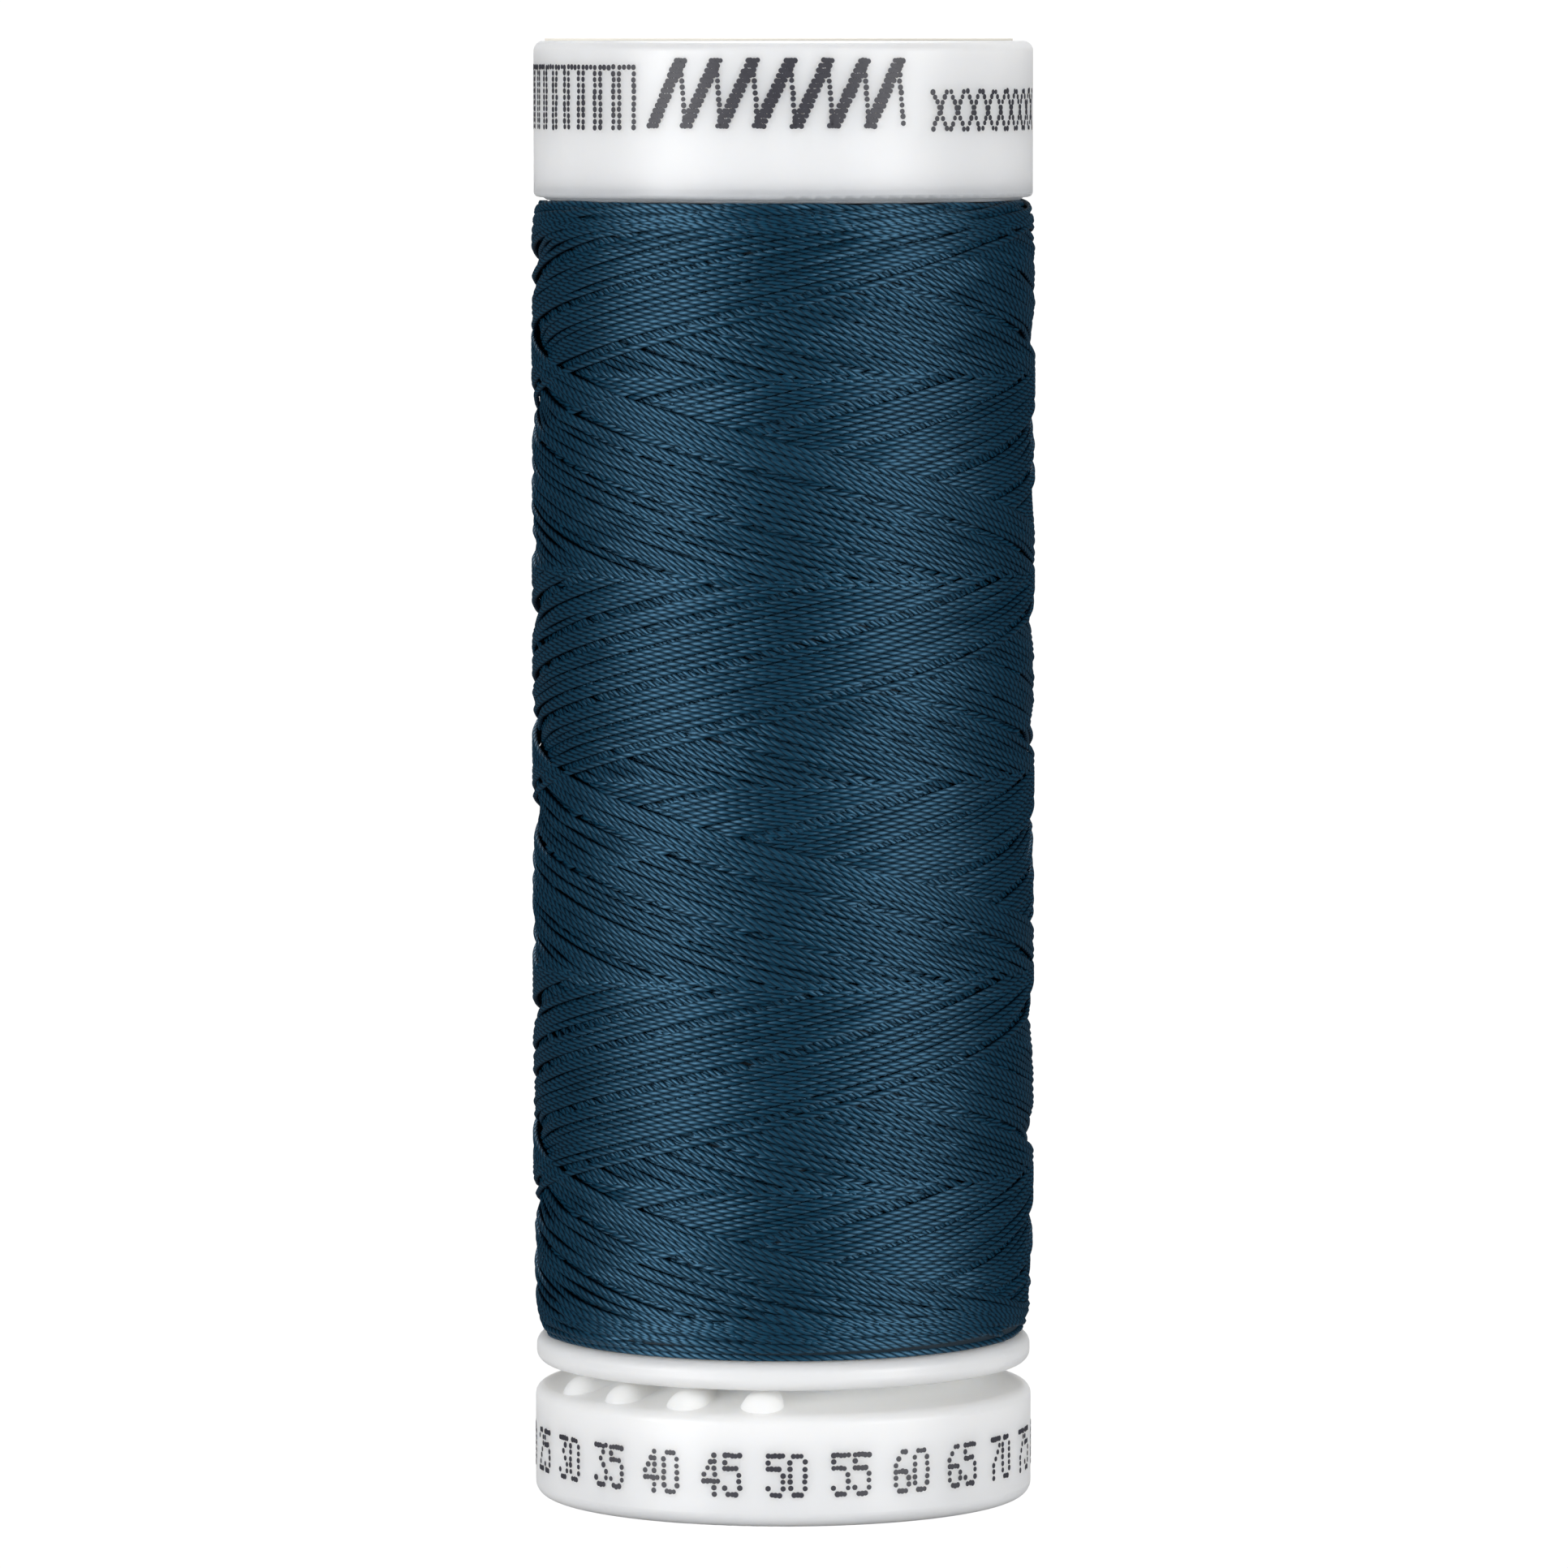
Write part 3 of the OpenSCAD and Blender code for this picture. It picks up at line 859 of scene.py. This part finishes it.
class SPOOL_OT_label(bpy.types.Operator):
    """Give the paper disc on the cap its finish"""

    bl_idname = "spool.label"
    bl_label = "Finish the label"

    def execute(self, context):
        paper = label_paper(context.scene.spool_label)
        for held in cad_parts["top_label"].material_slots:
            held.material = paper
        return {"FINISHED"}


# ---------------------------------------------------------------- print


DIGITS = {  # rows of five dots, the top row first
    "0": (14, 17, 17, 17, 17, 17, 14),
    "1": (4, 12, 4, 4, 4, 4, 14),
    "2": (14, 17, 1, 2, 4, 8, 31),
    "3": (31, 2, 4, 2, 1, 17, 14),
    "4": (2, 6, 10, 18, 31, 2, 2),
    "5": (31, 16, 30, 1, 1, 17, 14),
    "6": (6, 8, 16, 30, 17, 17, 14),
    "7": (31, 1, 2, 4, 8, 8, 8),
    "8": (14, 17, 17, 14, 17, 17, 14),
    "9": (14, 17, 17, 15, 1, 2, 12),
    " ": (0, 0, 0, 0, 0, 0, 0),
}
DIGIT_COLUMN = 0.16  # mm between the columns of dots in a digit
DIGIT_ROW = 0.285  # mm between its rows
DIGIT_WIDTH = 0.955  # mm from one digit to the next
NUMBERS_AT = 1.45  # mm, height of the lowest row
STRAY = 0.012  # mm, how far a dot lands beside its place
UNEVEN = 0.06  # share by which the dots' sizes differ


class SpoolPrintSettings(bpy.types.PropertyGroup):
    """The dotted marks that a jet printer leaves on the cap and the base."""

    dot: FloatProperty(
        name="Dot", description="Diameter of one dot", default=0.24 * MM, unit="LENGTH", precision=5
    )
    film: FloatProperty(
        name="Ink film",
        description="How far a dot stands proud",
        default=0.008 * MM,
        unit="LENGTH",
        precision=6,
    )
    numbers: StringProperty(
        name="Numbers",
        description="The plain numbers round the base",
        default="".join(f"{number} " for number in range(0, 100, 5)),
    )
    ink: FloatVectorProperty(
        name="Ink", description="Colour of the ink", subtype="COLOR", size=4, default=colour("33333B")
    )
    seed: IntProperty(name="Seed", description="Start of the dots' uneven places", default=11)


def dots_along(corners, pitch):
    """Dots at an even pitch along a line through these corners. Each is a distance round the spool and a
    height, in mm."""
    placed = []
    for a, b in zip(corners, corners[1:]):
        a, b = np.array(a, float), np.array(b, float)
        count = max(1, round(float(np.linalg.norm(b - a)) / pitch))
        placed += [a + (b - a) * i / count for i in range(count)]
    return placed + [np.array(corners[-1], float)]


def number_dots(text, bottom):
    """Dots of a row of numbers that starts at 0."""
    return [
        np.array([i * DIGIT_WIDTH + DIGIT_COLUMN * c, bottom + DIGIT_ROW * (6 - r)])
        for i, sign in enumerate(text)
        for r, bits in enumerate(DIGITS[sign])
        for c in range(5)
        if bits >> (4 - c) & 1
    ]


def ink_material(s):
    """Solvent ink from a jet printer: charcoal, thin and nearly matt, its tone uneven from drop to drop."""
    material, tree = new_material("charcoal jet ink", s.ink)
    where = add_node(tree, "ShaderNodeTexCoord").outputs["Object"]
    drop = add_node(
        tree, "ShaderNodeTexNoise", {"Vector": where, "Scale": 1 / (0.3 * MM), "Detail": 2.0}
    )
    thick = [c * 0.7 for c in s.ink[:3]] + [1]
    thin = [min(1, c * 1.35) for c in s.ink[:3]] + [1]
    tone = add_node(
        tree, "ShaderNodeMix", {"Factor": drop.outputs[0], 6: thick, 7: thin}, data_type="RGBA"
    )
    shader = add_node(
        tree,
        "ShaderNodeBsdfPrincipled",
        {"Base Color": tone.outputs[2], "Roughness": 0.55, "IOR": 1.5},
    )
    finish_material(tree, shader.outputs[0])
    return material


def one_dot(s):
    """Corners and faces of a single drop of ink, lying flat with its rim rounded."""
    deselect()
    skirt = 0.03 * MM  # reaches into the plastic, so that no rim hangs free
    bpy.ops.mesh.primitive_cylinder_add(
        vertices=12, radius=s.dot / 2, depth=s.film + skirt, location=(0, 0, (s.film - skirt) / 2)
    )
    dot = bpy.context.object
    bpy.ops.object.mode_set(mode="EDIT")
    bpy.ops.mesh.select_all(action="DESELECT")
    shape = bmesh.from_edit_mesh(dot.data)
    for face in shape.faces:
        face.select_set(face.normal.z > 0.9)
    bmesh.update_edit_mesh(dot.data)
    bpy.ops.mesh.inset(thickness=s.dot * 0.12, depth=0)
    bpy.ops.transform.translate(value=(0, 0, s.film * 0.5))
    bpy.ops.object.mode_set(mode="OBJECT")
    place_in_mesh(dot)
    points = np.array([v.co[:] for v in dot.data.vertices])
    faces = [tuple(f.vertices) for f in dot.data.polygons]
    bpy.data.objects.remove(dot)
    return points, faces


def print_dots(name, s, dots, radius, draw, ink, body):
    """Lays a copy of the drop at each of these places on a round of this radius, in mm."""
    points, faces = one_dot(s)
    all_points, all_faces = [], []
    for i, (x, z) in enumerate(dots):
        x, z = x + draw.normal(0, STRAY), z + draw.normal(0, STRAY)
        size = draw.normal(1, UNEVEN)
        turn = x / radius
        out = np.array([math.sin(turn), -math.cos(turn), 0])
        right = np.array([math.cos(turn), math.sin(turn), 0])
        up = np.array([0, 0, 1])
        middle = out * radius * MM + up * z * MM
        # right x up points outwards, so the drop keeps its handedness
        flat = points[:, :1] * right + points[:, 1:2] * up
        all_points.append(middle + size * flat + points[:, 2:] * out)
        all_faces += [tuple(v + i * len(points) for v in face) for face in faces]
    mesh = bpy.data.meshes.new(name)
    mesh.from_pydata(np.concatenate(all_points).tolist(), [], all_faces)
    mesh.materials.append(ink)
    mesh.update()
    piece = bpy.data.objects.new(name, mesh)
    bpy.context.scene.collection.objects.link(piece)
    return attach(piece, body)


class SPOOL_OT_print(bpy.types.Operator):
    """Print dotted stitches on the cap and plain numbers on the base"""

    bl_idname = "spool.marks"
    bl_label = "Print the marks"

    def execute(self, context):
        s = context.scene.spool_print
        ink = ink_material(s)
        draw = np.random.default_rng(s.seed)
        cap_radius, base_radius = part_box("top_cap")[1].x / MM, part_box("snap_base")[1].x / MM
        dots = []
        # tall running stitches, left of the middle
        low, high, wide = 60.65, 63.25, 0.8
        for i in range(12):
            x = -6.9 - i * 1.15
            dots += dots_along([(x - wide, low), (x - wide, high), (x, high), (x, low)], 0.27)
        # a heavy slanting zigzag in the middle: four lines side by side lean right, and one leads back down
        for i in range(7):
            x = -6.1 + i * 1.62
            for shift in (0, 0.13, 0.26, 0.39):
                dots += dots_along([(x + shift, 60.75), (x + shift + 1.35, 63.55)], 0.24)
            dots += dots_along([(x + 1.55, 63.45), (x + 1.75, 60.85)], 0.27)
        # small cross stitches on the right
        low, high, wide = 60.6, 62.2, 0.78
        for i in range(9):
            x = 6.9 + i * 1.02
            dots += dots_along([(x, low), (x + wide, high)], 0.26)
            dots += dots_along([(x, high), (x + wide, low)], 0.26)
        print_dots("cap_print", s, dots, cap_radius, draw, ink, SPOOL)
        row = number_dots(s.numbers, NUMBERS_AT)
        shift = -0.5 * DIGIT_WIDTH * len(s.numbers) + 0.3
        dots = [d + (shift, 0) for d in row]
        print_dots("base_print", s, dots, base_radius, draw, ink, BASE)
        return {"FINISHED"}


# ---------------------------------------------------------------- stage


ASIDE = 0.03  # mm that the camera stands right of the axis
SPOOL_MIDDLE = 0.032  # metres, the height that the softboxes are aimed at


class SpoolStageSettings(bpy.types.PropertyGroup):
    """Camera, light and floor."""

    distance: FloatProperty(
        name="Distance",
        description="From the spool's axis to the camera",
        default=435 * MM,
        unit="LENGTH",
    )
    eye: FloatProperty(
        name="Eye height", description="Height of the camera", default=64.5 * MM, unit="LENGTH"
    )
    tilt: FloatProperty(
        name="Tilt",
        description="How far the camera looks down",
        default=math.radians(4.328),
        subtype="ANGLE",
    )
    lens: FloatProperty(
        name="Lens",
        description="Focal length in millimetres",
        default=226.2,
        subtype="DISTANCE_CAMERA",
    )
    side_light: FloatProperty(
        name="Side light",
        description="Power of each softbox beside the camera",
        default=3.7,
        subtype="POWER",
    )
    back_light: FloatProperty(
        name="Back light",
        description="Power of the softbox above and behind the spool",
        default=12.0,
        subtype="POWER",
    )
    fill: FloatProperty(name="Fill", description="Brightness of the light from all round", default=0.035)
    clearance: FloatProperty(
        name="Clearance",
        description="How far the floor lies under the spool, so that the base has room to be pulled down",
        default=4 * MM,
        unit="LENGTH",
    )
    floor: FloatVectorProperty(
        name="Floor",
        description="Colour that the floor throws back",
        subtype="COLOR",
        size=4,
        default=colour("545454"),
    )


class SPOOL_OT_stage(bpy.types.Operator):
    """Set up the floor, the softboxes and the camera"""

    bl_idname = "spool.stage"
    bl_label = "Set the stage"

    def execute(self, context):
        s = context.scene.spool_stage
        scene = context.scene
        scene.view_settings.view_transform = "Standard"  # the white of the studio stays white
        eye = bpy.data.cameras.new("camera")
        eye.lens, eye.sensor_width, eye.clip_start, eye.clip_end = s.lens, 36.0, 0.01, 20.0
        camera = bpy.data.objects.new("camera", eye)
        camera.location = (ASIDE * MM, -s.distance, s.eye)
        camera.rotation_euler = (math.pi / 2 - s.tilt, 0, 0)
        scene.collection.objects.link(camera)
        scene.camera = camera
        for name, azimuth, height, size, power in (
            ("softbox_left", -52, 0.02, (0.24, 0.26), s.side_light),
            ("softbox_right", 53, 0.02, (0.34, 0.26), 0.95 * s.side_light),
            ("softbox_back", 180, 0.9, (0.5, 0.4), s.back_light),
        ):
            self.softbox(scene, name, azimuth, height, size, power)
        self.surround(scene, s.fill)
        self.lay_floor(s)
        return {"FINISHED"}

    def softbox(self, scene, name, azimuth, height, size, power, reach=0.62):
        """A soft light that faces the spool, at a turn from the front, a height above the spool's middle and
        a reach from its axis."""
        lamp = bpy.data.lights.new(name, "AREA")
        lamp.shape, lamp.size, lamp.size_y, lamp.energy = "RECTANGLE", *size, power
        box = bpy.data.objects.new(name, lamp)
        turn = math.radians(azimuth)
        box.location = (reach * math.sin(turn), -reach * math.cos(turn), SPOOL_MIDDLE + height)
        box.rotation_euler = (math.pi / 2 - math.atan2(height, reach), 0, turn)
        box.visible_camera = False
        scene.collection.objects.link(box)

    def surround(self, scene, fill):
        """A white room: bright to the eye, dim as a light."""
        room = bpy.data.worlds.new("white room")
        scene.world = room
        room.use_nodes = True
        tree = room.node_tree
        tree.nodes.clear()
        path = add_node(tree, "ShaderNodeLightPath")
        seen = add_node(
            tree,
            "ShaderNodeMapRange",
            {"Value": path.outputs["Is Camera Ray"], "To Min": fill, "To Max": 1.05},
        )
        white = {"Color": (1, 1, 1, 1), "Strength": seen.outputs[0]}
        light = add_node(tree, "ShaderNodeBackground", white)
        add_node(tree, "ShaderNodeOutputWorld", {"Surface": light.outputs[0]})

    def lay_floor(self, s):
        """A matt floor that throws light up at the spool. The camera sees the white room through it, so that
        it never cuts off the base that is pulled down. It casts no shadow, so that the low ends of the
        softboxes light the spool from below."""
        deselect()
        bpy.ops.mesh.primitive_plane_add(size=40, location=(0, 0, -s.clearance))
        ground = bpy.context.object
        ground.name = "floor"
        ground.visible_camera = False
        ground.visible_shadow = False
        matt, tree = new_material("matt sweep", s.floor)
        paper = add_node(tree, "ShaderNodeBsdfDiffuse", {"Color": s.floor})
        finish_material(tree, paper.outputs[0])
        ground.data.materials.append(matt)


# ---------------------------------------------------------------- panel and order


class SPOOL_PT_panel(bpy.types.Panel):
    """Lists the steps and their settings"""

    bl_idname = "SPOOL_PT_panel"
    bl_label = "Thread Spool"
    bl_space_type = "VIEW_3D"
    bl_region_type = "UI"
    bl_category = "Thread Spool"

    def draw(self, context):
        layout = self.layout
        for label, group, operator in STEPS:
            box = layout.box()
            box.label(text=label)
            settings = getattr(context.scene, group)
            for name in type(settings).__annotations__:
                box.prop(settings, name)
            box.operator(operator)


STEPS = (
    ("Stage", "spool_stage", "spool.stage"),
    ("Mouldings", "spool_moulding", "spool.mouldings"),
    ("Label", "spool_label", "spool.label"),
    ("Winding", "spool_winding", "spool.winding"),
    ("Print", "spool_print", "spool.marks"),
)
GROUPS = {
    "spool_stage": SpoolStageSettings,
    "spool_moulding": SpoolMouldingSettings,
    "spool_label": SpoolLabelSettings,
    "spool_winding": SpoolWindingSettings,
    "spool_print": SpoolPrintSettings,
}
CLASSES = (
    *GROUPS.values(),
    SPOOL_OT_stage,
    SPOOL_OT_mouldings,
    SPOOL_OT_label,
    SPOOL_OT_winding,
    SPOOL_OT_print,
    SPOOL_PT_panel,
)


def register():
    for each in CLASSES:
        bpy.utils.register_class(each)
    for name, group in GROUPS.items():
        setattr(bpy.types.Scene, name, PointerProperty(type=group))


def unregister():
    for name in GROUPS:
        delattr(bpy.types.Scene, name)
    for each in reversed(CLASSES):
        bpy.utils.unregister_class(each)


def main():
    register()
    bpy.ops.spool.stage()
    bpy.ops.spool.mouldings()
    bpy.ops.spool.label()
    bpy.ops.spool.winding()
    bpy.ops.spool.marks()


if __name__ == "__main__":
    main()
